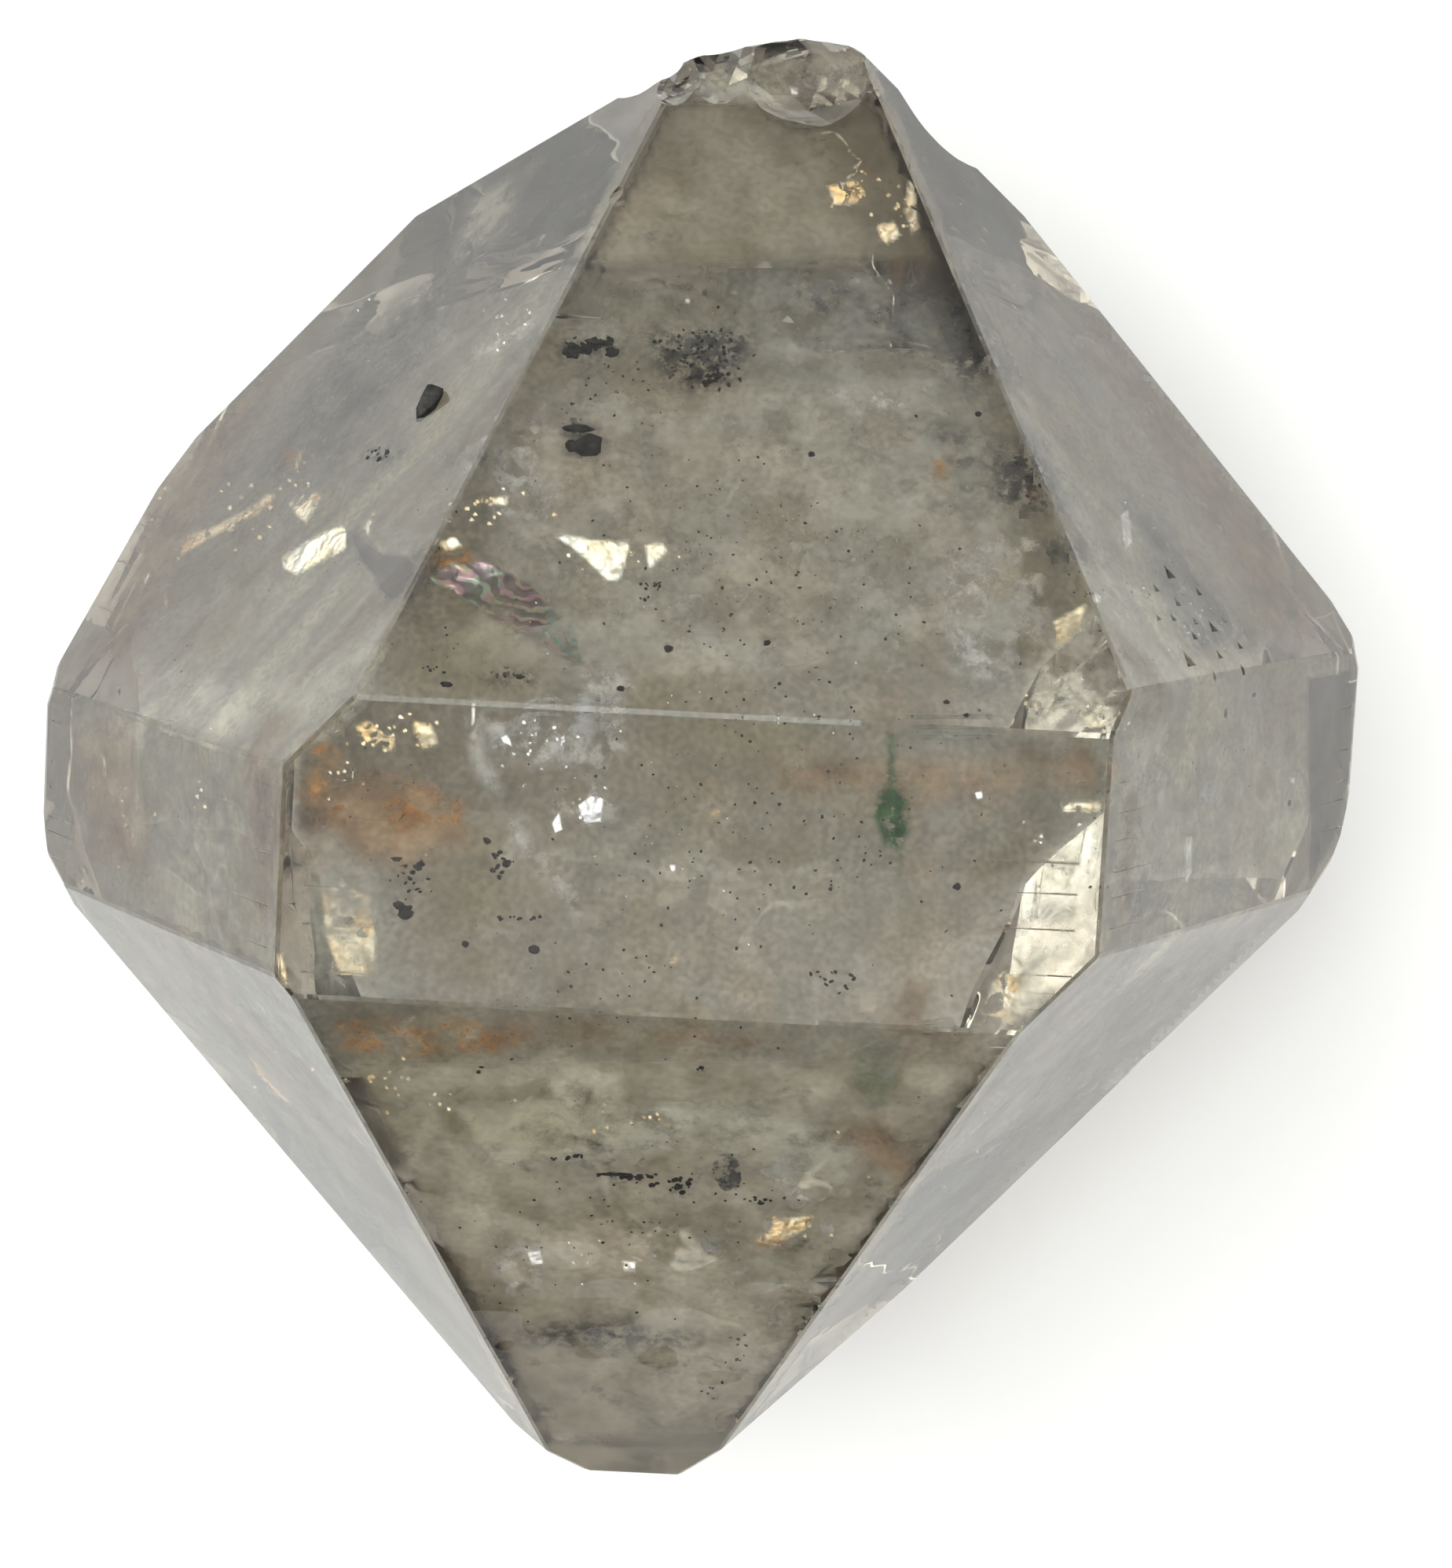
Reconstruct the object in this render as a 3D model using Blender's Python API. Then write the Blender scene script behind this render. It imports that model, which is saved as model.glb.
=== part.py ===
"""A doubly terminated quartz crystal, a herkimer diamond, lying on one of its six prism faces.

The crystal's long axis runs along +Y and +Z is up. Lengths are in metres. Every face keeps the fixed
angles of quartz, so a face is named by its number round the axis and placed by its distance from the
crystal's centre. Number 0 looks up, and the numbers go round towards +X.
"""
import math
import random

import bmesh
import bpy
from mathutils import Vector, noise

MM = 0.001

# Distance of each face from the crystal's centre, for the faces 0 to 5
PRISM_REACH = (8.00 * MM, 8.31 * MM, 7.40 * MM, 4.40 * MM, 6.94 * MM, 8.31 * MM)
UPPER_REACH = (7.43 * MM, 7.99 * MM, 7.46 * MM, 5.74 * MM, 7.90 * MM, 7.13 * MM)
LOWER_REACH = (7.43 * MM, 7.06 * MM, 5.75 * MM, 4.24 * MM, 6.10 * MM, 7.53 * MM)
TIP_FACE_LEAN = math.radians(38.21)  # how far a tip face's normal leans from its prism face's

BLANK_SIDE = 60.0 * MM
EDGE_WEAR = 0.07 * MM
EDGE_STEPS = 1
GIRDLE_WEAR = 0.25 * MM
GIRDLE_STEPS = 3
CORNER_WEAR = 0.10 * MM
GIRDLE_START = 7.2 * MM  # corners and edges further out to the sides than this are worn round
SHARP_EDGE = math.radians(22)
SMALLEST_EDGE = 0.004 * MM
ON_PLANE = 0.0001 * MM  # a point this close to a cut lies on it
UPRIGHT = 0.1  # a prism face's normal runs less than this along the axis

# Old breaks and rubbing at the two tips, each a flat cut given by its normal and its reach
UPPER_TIP_BREAKS = (
    ((-0.41, 0.91, -0.08), 8.97 * MM),
    ((-0.27, 0.88, -0.39), 8.14 * MM),
    ((0.13, 0.94, -0.31), 9.24 * MM),
    ((0.53, 0.77, -0.36), 8.06 * MM),
)
LOWER_TIP_BREAKS = (
    ((-0.48, -0.88, 0.03), 8.76 * MM),
    ((0.10, -0.99, 0.12), 9.68 * MM),
    ((0.67, -0.74, 0.00), 7.20 * MM),
)

# Shell-shaped chips cut by lumpy balls: place, outward direction, ball radius, depth, lumpiness
CHIPS = (
    ((0.95 * MM, 9.62 * MM, 1.85 * MM), (0.05, 0.64, 0.77), 2.10 * MM, 0.14 * MM, 0.14),
    ((-0.08 * MM, 9.60 * MM, 1.88 * MM), (-0.10, 0.70, 0.70), 1.00 * MM, 0.12 * MM, 0.18),
    ((-0.70 * MM, 9.42 * MM, 1.90 * MM), (-0.15, 0.75, 0.64), 0.70 * MM, 0.10 * MM, 0.20),
    ((2.75 * MM, 9.05 * MM, 0.95 * MM), (0.62, 0.76, -0.05), 1.60 * MM, 0.20 * MM, 0.10),
    ((-1.44 * MM, 7.94 * MM, 3.16 * MM), (-0.35, 0.60, 0.70), 0.55 * MM, 0.07 * MM, 0.20),
    ((-1.02 * MM, 9.42 * MM, 1.30 * MM), (-0.42, 0.88, -0.20), 1.20 * MM, 0.12 * MM, 0.20),
)
CHIP_LUMP_SIZE = 0.5 * MM
CHIP_LUMP_SHIFT = 7.3  # from one chip's lumps to the next one's in the noise
CHIP_DETAIL = 4

# Growth ledges: fine steps across the prism faces, at right angles to the axis
LEDGE_DEPTH = 0.010 * MM
LEDGE_WIDTH = (0.06 * MM, 0.20 * MM)
LEDGE_GAP = (0.12 * MM, 0.50 * MM)
LEDGE_LENGTH = (0.6 * MM, 3.0 * MM)
LEDGE_START = 0.30 * MM  # in from the face's side edge, clear of the edge's wear
LEDGE_MARGIN = 0.30 * MM  # between the face's ends and the first and last ledge
LEDGE_CLEARANCE = 0.05 * MM  # how far the cutter stands out of the face
LEDGE_RUN_OUT = 0.005 * MM  # the same at the ledge's end, where it runs out to nothing
LEDGE_SEED = 11

# Triangular growth pits in groups: face, middle of the group, its radius and its number of pits
PIT_GROUPS = (
    ("upper", 1, (6.36 * MM, 2.81 * MM, 4.90 * MM), 1.00 * MM, 16),
    ("lower", 4, (-5.2 * MM, -3.0 * MM, -2.0 * MM), 1.60 * MM, 12),
    ("upper", 3, (0.8 * MM, 4.6 * MM, -3.3 * MM), 1.70 * MM, 12),
)
PIT_SIZE = (0.07 * MM, 0.16 * MM)
PIT_DEPTH = 0.05 * MM
PIT_SPACING = 2.2  # from pit to pit, in the sum of their two sizes
PIT_SEED = 5

QUARTZ_COLOUR = (0.86, 0.82, 0.76, 1.0)
QUARTZ_IOR = 1.544


def face_normal(kind, number):
    """The outward normal of a face of the kind prism, upper or lower."""
    turn = math.radians(60 * number)
    around = Vector((math.sin(turn), 0, math.cos(turn)))
    if kind == "prism":
        return around
    along = Vector((0, 1 if kind == "upper" else -1, 0))
    return math.cos(TIP_FACE_LEAN) * around + math.sin(TIP_FACE_LEAN) * along


def face_reach(kind, number):
    reaches = {"prism": PRISM_REACH, "upper": UPPER_REACH, "lower": LOWER_REACH}
    return reaches[kind][number]


def cut_flat(bm, normal, reach):
    """Takes off all that lies beyond the plane at this distance from the centre, and closes the cut."""
    normal = Vector(normal).normalized()
    everything = bm.verts[:] + bm.edges[:] + bm.faces[:]
    cut = bmesh.ops.bisect_plane(
        bm, geom=everything, dist=ON_PLANE, plane_co=normal * reach, plane_no=normal, clear_outer=True
    )
    rim = [part for part in cut["geom_cut"] if isinstance(part, bmesh.types.BMEdge)]
    bmesh.ops.holes_fill(bm, edges=rim, sides=0)
    bmesh.ops.remove_doubles(bm, verts=bm.verts, dist=SMALLEST_EDGE)


def wear_corners(bm):
    """Takes a small flat off each corner at the left and right ends of the girdle."""
    flats = []
    for corner in bm.verts:
        if abs(corner.co.x) > GIRDLE_START:
            outward = sum((face.normal for face in corner.link_faces), Vector()).normalized()
            flats.append((outward, outward.dot(corner.co) - CORNER_WEAR))
    for outward, reach in flats:
        cut_flat(bm, outward, reach)


def wear_edges(bm, width, steps, chosen):
    """Rounds the chosen edges of the crystal."""
    edges = [edge for edge in bm.edges if chosen(edge)]
    bmesh.ops.bevel(
        bm, geom=edges, offset=width, offset_type="WIDTH", segments=steps, profile=0.5,
        affect="EDGES", clamp_overlap=True,
    )
    bmesh.ops.remove_doubles(bm, verts=bm.verts, dist=SMALLEST_EDGE)
    bmesh.ops.dissolve_degenerate(bm, edges=bm.edges, dist=SMALLEST_EDGE)
    bm.normal_update()


def is_girdle_edge(edge):
    """True for the two long edges furthest to the left and the right."""
    along_axis = all(abs(face.normal.y) < UPRIGHT for face in edge.link_faces)
    middle = (edge.verts[0].co + edge.verts[1].co) / 2
    return along_axis and abs(middle.x) > GIRDLE_START


def is_sharp(edge):
    return edge.calc_face_angle(0) > SHARP_EDGE


def mesh_of(bm, name):
    """Turns a finished bmesh into a mesh with its faces pointing out."""
    bmesh.ops.recalc_face_normals(bm, faces=bm.faces)
    mesh = bpy.data.meshes.new(name)
    bm.to_mesh(mesh)
    bm.free()
    return mesh


def add_object(name, mesh):
    made = bpy.data.objects.new(name, mesh)
    bpy.context.scene.collection.objects.link(made)
    return made


def make_blank():
    """The whole crystal with flat faces and worn edges, before chips and growth marks."""
    bm = bmesh.new()
    bmesh.ops.create_cube(bm, size=BLANK_SIDE)
    for kind in ("prism", "upper", "lower"):
        for number in range(6):
            cut_flat(bm, face_normal(kind, number), face_reach(kind, number))
    for normal, reach in UPPER_TIP_BREAKS + LOWER_TIP_BREAKS:
        cut_flat(bm, normal, reach)
    bm.normal_update()
    wear_corners(bm)
    bm.normal_update()
    wear_edges(bm, GIRDLE_WEAR, GIRDLE_STEPS, is_girdle_edge)
    wear_edges(bm, EDGE_WEAR, EDGE_STEPS, is_sharp)
    return add_object("crystal", mesh_of(bm, "crystal"))


def cut_away(body, cutter):
    """Cuts a hidden cutter, which moves with the body, out of the body."""
    cutter.hide_render = True
    cutter.display_type = "WIRE"
    cutter.parent = body
    cut = body.modifiers.new(cutter.name, "BOOLEAN")
    cut.operation = "DIFFERENCE"
    cut.solver = "EXACT"
    cut.object = cutter


def make_chip(number, place, outward, radius, depth, lumpiness):
    """A lumpy ball that reaches into the crystal by the depth, and leaves a shell-shaped break."""
    centre = Vector(place) + Vector(outward).normalized() * (radius - depth)
    bm = bmesh.new()
    bmesh.ops.create_icosphere(bm, subdivisions=CHIP_DETAIL, radius=radius)
    for vert in bm.verts:
        lump = noise.noise(vert.co / CHIP_LUMP_SIZE + Vector((CHIP_LUMP_SHIFT * number, 0, 0)))
        vert.co += vert.co.normalized() * lumpiness * lump * CHIP_LUMP_SIZE
        vert.co += centre
    return add_object(f"chip_{number}", mesh_of(bm, f"chip_{number}"))


def add_hull(bm, points):
    """Adds the closed convex body round some points."""
    verts = [bm.verts.new(point) for point in points]
    hull = bmesh.ops.convex_hull(bm, input=verts)
    inside = [part for part in hull["geom_interior"] if isinstance(part, bmesh.types.BMVert)]
    bmesh.ops.delete(bm, geom=inside, context="VERTS")


def prism_face_edges(number):
    """How far a prism face runs to each side of its middle line."""
    turn = math.radians(60)
    lift = PRISM_REACH[number] * math.cos(turn)
    sides = []
    for neighbour in ((number - 1) % 6, (number + 1) % 6):
        sides.append((PRISM_REACH[neighbour] - lift) / math.sin(turn))
    return -sides[0], sides[1]


def prism_face_span(number):
    """How far a prism face runs up and down along the axis."""
    lift = PRISM_REACH[number] * math.cos(TIP_FACE_LEAN)
    top = (UPPER_REACH[number] - lift) / math.sin(TIP_FACE_LEAN)
    bottom = -(LOWER_REACH[number] - lift) / math.sin(TIP_FACE_LEAN)
    return bottom, top


def add_ledge(bm, number, level, width, side, length):
    """Adds the wedge that cuts one ledge: deep at the face's side edge and running out to nothing."""
    outward = face_normal("prism", number)
    across = Vector((0, 1, 0)).cross(outward)
    surface = outward * PRISM_REACH[number]
    edges = prism_face_edges(number)
    start, inward = (edges[1], -1) if side > 0 else (edges[0], 1)
    near = surface + across * (start + inward * LEDGE_START)
    far = surface + across * (start + inward * length)
    above = outward * LEDGE_CLEARANCE
    low = Vector((0, level, 0))
    high = Vector((0, level + width, 0))
    add_hull(bm, (
        near + low + above, near + high + above, near + low - outward * LEDGE_DEPTH,
        far + low + above, far + high + above, far + low + outward * LEDGE_RUN_OUT,
    ))


def make_ledges():
    """All the growth ledges of the six prism faces as one cutter, a ladder of them at each side edge."""
    chance = random.Random(LEDGE_SEED)
    bm = bmesh.new()
    for number in range(6):
        bottom, top = prism_face_span(number)
        for side in (-1, 1):
            level = bottom + LEDGE_MARGIN
            while level < top - LEDGE_MARGIN:
                width = chance.uniform(*LEDGE_WIDTH)
                add_ledge(bm, number, level, width, side, chance.uniform(*LEDGE_LENGTH))
                level += width + chance.uniform(*LEDGE_GAP)
    return add_object("ledge_cutter", mesh_of(bm, "ledge_cutter"))


def add_pit(bm, middle, outward, towards_tip, size):
    """Adds one three-sided pyramid, point down, with a corner turned to the tip."""
    sideways = outward.cross(towards_tip)
    rim_reach = 2 * size  # half of the pyramid stands out of the face, so its rim is twice the pit's
    rim = []
    for turn in (0, 120, 240):
        angle = math.radians(turn)
        direction = towards_tip * math.cos(angle) + sideways * math.sin(angle)
        rim.append(middle + direction * rim_reach + outward * PIT_DEPTH)
    add_hull(bm, rim + [middle - outward * PIT_DEPTH])


def make_pits():
    """The groups of triangular growth pits as one cutter, no two of them touching."""
    chance = random.Random(PIT_SEED)
    bm = bmesh.new()
    for kind, number, middle, radius, count in PIT_GROUPS:
        outward = face_normal(kind, number)
        tip = Vector((0, 1 if kind == "upper" else -1, 0))
        towards_tip = (tip - outward * tip.dot(outward)).normalized()
        sideways = outward.cross(towards_tip)
        middle = Vector(middle)
        middle += outward * (face_reach(kind, number) - outward.dot(middle))
        placed = []
        while len(placed) < count:
            turn = chance.uniform(0, math.tau)
            out = radius * math.sqrt(chance.random())
            place = middle + (sideways * math.cos(turn) + towards_tip * math.sin(turn)) * out
            size = chance.uniform(*PIT_SIZE)
            if all((place - other).length > PIT_SPACING * (size + other_size) for other, other_size in placed):
                placed.append((place, size))
                add_pit(bm, place, outward, towards_tip, size)
    return add_object("pit_cutter", mesh_of(bm, "pit_cutter"))


def quartz_material():
    """Clear, faintly smoky quartz."""
    material = bpy.data.materials.new("quartz")
    material.use_nodes = True
    shader = material.node_tree.nodes["Principled BSDF"]
    shader.inputs["Base Color"].default_value = QUARTZ_COLOUR
    shader.inputs["Roughness"].default_value = 0.05
    shader.inputs["Metallic"].default_value = 0.0
    shader.inputs["IOR"].default_value = QUARTZ_IOR
    shader.inputs["Transmission Weight"].default_value = 1.0
    return material


def lay_on_bed(body):
    """Moves the crystal so that it lies on its lowest face, with the middle of its box over the origin."""
    depsgraph = bpy.context.evaluated_depsgraph_get()
    corners = [Vector(corner) for corner in body.evaluated_get(depsgraph).bound_box]
    middle_x = (min(corner.x for corner in corners) + max(corner.x for corner in corners)) / 2
    middle_y = (min(corner.y for corner in corners) + max(corner.y for corner in corners)) / 2
    body.location = (-middle_x, -middle_y, PRISM_REACH[3])
    print("centre in mm:", [round(value / MM, 4) for value in body.location])


def main():
    for old in list(bpy.data.objects):
        bpy.data.objects.remove(old)
    body = make_blank()
    body.data.materials.append(quartz_material())
    for number, chip in enumerate(CHIPS):
        cut_away(body, make_chip(number, *chip))
    cut_away(body, make_ledges())
    cut_away(body, make_pits())
    lay_on_bed(body)


main()
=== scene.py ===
"""Looks of the herkimer diamond: its quartz, what is sealed in it, the floor, the light and the camera."""
import math
import random

import bmesh
import bpy
from mathutils import Matrix, Vector, noise
from mathutils.bvhtree import BVHTree


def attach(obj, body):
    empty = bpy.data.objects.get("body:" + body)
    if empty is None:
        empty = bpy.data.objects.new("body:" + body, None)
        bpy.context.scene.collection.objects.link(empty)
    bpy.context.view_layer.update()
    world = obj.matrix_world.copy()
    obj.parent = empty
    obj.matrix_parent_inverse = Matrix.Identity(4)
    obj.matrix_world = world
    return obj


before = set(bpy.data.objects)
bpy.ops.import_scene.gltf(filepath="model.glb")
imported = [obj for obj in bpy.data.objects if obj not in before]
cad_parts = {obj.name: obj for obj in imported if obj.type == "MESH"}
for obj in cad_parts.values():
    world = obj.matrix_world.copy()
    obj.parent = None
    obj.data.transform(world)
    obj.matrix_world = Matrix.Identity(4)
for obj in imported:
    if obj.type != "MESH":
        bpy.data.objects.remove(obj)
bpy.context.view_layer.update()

MM = 0.001
# The crystal's centre, from which part.py measures its faces, in the frame of the part
CENTRE = Vector((-0.1328, -0.3749, 4.4)) * MM
QUARTZ_IOR = 1.544
FLOOR_GAP = 0.05 * MM  # keeps the floor clear of the face that the crystal lies on

# Camera, matched to the photograph's edges: turns in degrees, and its place from the crystal's centre
CAMERA_ROLL = -3.124
CAMERA_PITCH = 7.857
CAMERA_YAW = 1.049
CAMERA_PLACE = Vector((0.494, -0.105, 60.78)) * MM
FOCAL_PIXELS = 5561.5
FRAME_WIDTH = 1848
FRAME_HEIGHT = 1995
SENSOR = 36.0
PIXEL = CAMERA_PLACE.z / FOCAL_PIXELS  # the size of one of the photograph's pixels on the crystal

# Light: a dome from the horizon's colour to the top's, and one large soft key light
HORIZON_LIGHT = (0.22, 0.22, 0.23)
TOP_LIGHT = (1.15, 1.14, 1.11)
TOP_LIGHT_FROM = 0.75  # the height on the dome above which the top's colour is full
KEY_PLACE = Vector((-150, 135, 275)) * MM
KEY_SIZE = 320 * MM
KEY_WATTS = 1.05
KEY_COLOUR = (0.95, 1.0, 0.97)
FLOOR_REACH = 400 * MM
LIGHT_BOUNCES = 7
NOISE_THRESHOLD = 0.2  # a coarse one keeps the final render short

# Quartz, lengths in millimetres
ABSORPTION_COLOUR = (0.78, 0.765, 0.72)
ABSORPTION_DENSITY = 100.0
# The outline and streak measures below shape the quartz's painted shade at its outline and its partly
# painted streaks
RIM_HALF_WIDTH = 8.9  # the crystal's outline from above is close to a diamond of this size
RIM_HALF_LENGTH = 9.9
STREAKS_ACROSS_RIM = 9
STREAK_STRETCH = 0.2  # the streaks' noise along the rim runs this much slower
RIB_SPACING = 0.19
ACROSS_RIBS = (0.57, 0.82)

# Pieces inside
SPECK_SEED = 3
SHEET_SEED = 8
LUMPINESS = 0.5
LUMP_RATE = 1.3
LARGE_GRAIN = 0.04 * MM  # grains with a larger radius get finer meshes
FLAKE_THICKNESS = 0.3  # as a share of its width
WISP_TURN = -0.5  # radians, the way most of the small veils lie
WISP_TURN_SPREAD = 0.4
WISP_CORNERS = 9
WISP_FLATNESS = 0.45
WISP_LEAN = 0.5
SPARK_CORNERS = 5
SHEET_WAVE = 45  # pixels, the length of the sheets' waves
SHALLOWEST = 0.05  # millimetres, no sheet comes closer to the surface

# Places in the photograph's pixels from here on, and depths under the crystal's surface in millimetres

# Groups of black specks: middle, half width and height of the group, number, size of one, depth
SPECK_GROUPS = (
    ((740, 562), (20, 22), 26, (8, 20), (0.9, 1.6)),
    ((735, 542), (22, 12), 12, (4, 9), (0.9, 1.6)),
    ((752, 440), (36, 9), 22, (4, 13), (0.6, 1.0)),
    ((730, 450), (14, 6), 8, (5, 12), (0.6, 1.0)),
    ((892, 445), (52, 36), 110, (2, 7), (0.5, 1.6)),
    ((905, 480), (30, 14), 40, (3, 9), (0.5, 1.4)),
    ((770, 500), (60, 40), 24, (2, 5), (0.4, 1.6)),
    ((486, 576), (18, 8), 16, (3, 8), (0.0, 0.05)),
    ((515, 1158), (9, 9), 7, (6, 12), (0.5, 0.8)),
    ((520, 1115), (34, 42), 22, (3, 8), (0.4, 1.0)),
    ((636, 1095), (18, 24), 13, (4, 11), (0.4, 0.9)),
    ((650, 1168), (32, 3), 12, (3, 6), (0.4, 0.6)),
    ((760, 1240), (150, 50), 26, (2, 5), (0.3, 2.0)),
    ((1060, 1248), (60, 14), 14, (3, 7), (0.3, 0.9)),
    ((825, 750), (16, 22), 14, (3, 7), (0.3, 0.6)),
    ((900, 700), (110, 60), 26, (2, 4), (0.2, 1.5)),
    ((1310, 625), (30, 38), 12, (3, 7), (0.4, 0.9)),
    ((645, 855), (26, 12), 12, (3, 9), (0.8, 1.2)),
    ((560, 830), (60, 40), 16, (2, 5), (0.4, 1.6)),
    ((895, 1357), (9, 5), 4, (4, 7), (0.4, 0.5)),
    ((611, 1359), (5, 5), 3, (4, 7), (0.4, 0.5)),
    ((716, 1474), (26, 5), 10, (4, 10), (0.5, 0.8)),
    ((800, 1496), (38, 3), 18, (4, 10), (0.5, 0.7)),
    ((860, 1508), (40, 8), 18, (4, 10), (0.5, 0.8)),
    ((950, 1528), (34, 8), 12, (3, 7), (0.5, 0.8)),
    ((640, 1650), (40, 60), 14, (2, 5), (0.3, 1.5)),
    ((780, 1560), (180, 90), 40, (2, 5), (0.3, 2.0)),
    ((905, 1770), (12, 12), 6, (3, 7), (0.3, 0.6)),
    ((940, 1715), (14, 26), 10, (3, 8), (0.5, 1.0)),
    ((1465, 745), (75, 18), 10, (3, 6), (0.1, 0.3)),
    ((1385, 600), (50, 90), 16, (2, 5), (0.1, 0.8)),
    ((1000, 1060), (330, 150), 160, (2, 5), (0.2, 2.0)),
    ((1020, 780), (260, 130), 160, (2, 5), (0.2, 2.0)),
    ((900, 640), (260, 120), 90, (2, 5), (0.2, 2.0)),
    ((820, 1500), (250, 150), 90, (2, 5), (0.2, 1.5)),
    ((480, 1020), (90, 60), 18, (2, 4), (0.3, 1.2)),
    ((230, 850), (40, 30), 5, (3, 7), (0.3, 0.9)),
    ((420, 720), (120, 90), 16, (2, 4), (0.2, 0.9)),
    ((1560, 960), (80, 90), 16, (2, 4), (0.1, 0.8)),
    ((230, 1060), (110, 80), 14, (2, 4), (0.1, 0.8)),
    ((1480, 720), (120, 120), 34, (2, 4), (0.1, 0.8)),
)
# Single black flakes: middle, half width and height, turn in degrees, depth
FLAKES = (
    ((548, 515), (15, 25), -12, 0.0),
    ((748, 567), (17, 14), 20, 0.6),
    ((736, 545), (18, 6), 5, 0.6),
    ((728, 568), (8, 9), 0, 0.6),
    ((762, 436), (17, 5), -5, 0.6),
    ((735, 447), (14, 4), 8, 0.6),
    ((780, 450), (9, 5), 30, 0.6),
    ((516, 1163), (8, 7), 0, 0.4),
    ((508, 1152), (6, 5), 0, 0.4),
    ((330, 1141), (4, 11), 8, 0.3),
    ((1033, 578), (4, 4), 0, 0.4),
    ((1245, 527), (4, 4), 0, 0.3),
    ((1205, 893), (4, 3), 0, 0.3),
    ((1230, 910), (3, 3), 0, 0.3),
    ((680, 1208), (6, 5), 0, 0.4),
    ((592, 1201), (4, 4), 0, 0.4),
    ((1218, 1128), (4, 4), 0, 0.4),
    ((1641, 1022), (5, 4), 0, 0.2),
    ((1560, 908), (5, 5), 0, 0.2),
    ((1596, 884), (5, 3), 0, 0.2),
    ((790, 876), (5, 4), 0, 0.4),
    ((851, 825), (5, 5), 0, 0.4),
    ((976, 818), (4, 4), 0, 0.4),
    ((568, 871), (8, 4), 0, 0.5),
    ((780, 1494), (20, 3), 4, 0.5),
    ((505, 1093), (6, 3), 0, 0.4),
)

# Thin sheets inside: outline, depth, and how much deeper the sheet gets to the right and downwards
LEVEL = (0, 0)
TO_KEY = (-0.12, -0.12)  # turned towards the key light
CLOUDS = (
    (((815, 410), (960, 400), (975, 440), (940, 500), (860, 515), (810, 470)), 0.9, LEVEL),
    (((700, 425), (800, 425), (815, 450), (760, 470), (700, 465)), 1.1, LEVEL),
    (((455, 560), (520, 555), (535, 585), (480, 605), (450, 590)), 1.2, LEVEL),
    (((690, 1435), (860, 1425), (870, 1470), (790, 1500), (700, 1480)), 1.0, LEVEL),
    (((830, 1455), (1010, 1445), (1040, 1500), (930, 1540), (840, 1520)), 1.1, LEVEL),
    (((640, 1690), (760, 1665), (900, 1690), (905, 1720), (760, 1730), (660, 1720)), 0.8, LEVEL),
    (((775, 1835), (850, 1835), (865, 1855), (800, 1865)), 0.5, LEVEL),
    (((1000, 335), (1250, 350), (1290, 470), (1230, 520), (1120, 450), (980, 400)), 1.5, LEVEL),
    (((1150, 520), (1330, 560), (1360, 660), (1250, 660), (1150, 600)), 1.3, LEVEL),
    (((600, 850), (700, 840), (690, 880), (610, 885)), 1.0, LEVEL),
)
VEILS = (
    (((600, 900), (690, 885), (800, 900), (805, 960), (760, 1000), (680, 980), (620, 960)),
     0.9, (0.5, 0.3)),
    (((575, 905), (620, 900), (625, 960), (655, 1010), (640, 1030), (600, 990)), 0.7, (-0.4, 0.2)),
    (((700, 1000), (760, 985), (800, 1010), (790, 1050), (740, 1065), (690, 1040)), 0.8, (0.3, -0.3)),
    (((735, 850), (800, 840), (820, 880), (770, 905), (725, 890)), 0.6, (0.3, 0)),
    (((630, 1020), (680, 1060), (730, 1110), (765, 1200), (745, 1205), (700, 1140), (640, 1070)),
     0.7, (0, 0.3)),
    (((590, 440), (690, 385), (715, 400), (650, 450), (600, 470)), 0.5, LEVEL),
    (((1060, 485), (1200, 480), (1190, 525), (1110, 535), (1050, 520)), 1.0, LEVEL),
    (((1180, 690), (1330, 670), (1350, 800), (1290, 880), (1200, 860)), 1.0, (0.4, 0)),
    (((940, 1430), (1050, 1450), (1130, 1560), (1060, 1590), (960, 1500)), 1.0, (0.2, 0.2)),
    (((880, 1560), (1040, 1600), (1000, 1700), (900, 1680)), 1.0, LEVEL),
    (((400, 460), (560, 400), (600, 430), (480, 520), (390, 540)), 1.2, LEVEL),
    (((620, 560), (700, 500), (730, 640), (690, 680), (620, 660)), 1.3, LEVEL),
    (((985, 70), (1100, 65), (1110, 120), (1050, 138), (1000, 118)), 0.1, LEVEL),
    (((1510, 985), (1560, 990), (1550, 1050), (1512, 1060)), 0.4, LEVEL),
    (((600, 1590), (700, 1560), (720, 1640), (640, 1660)), 0.9, LEVEL),
)
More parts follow.
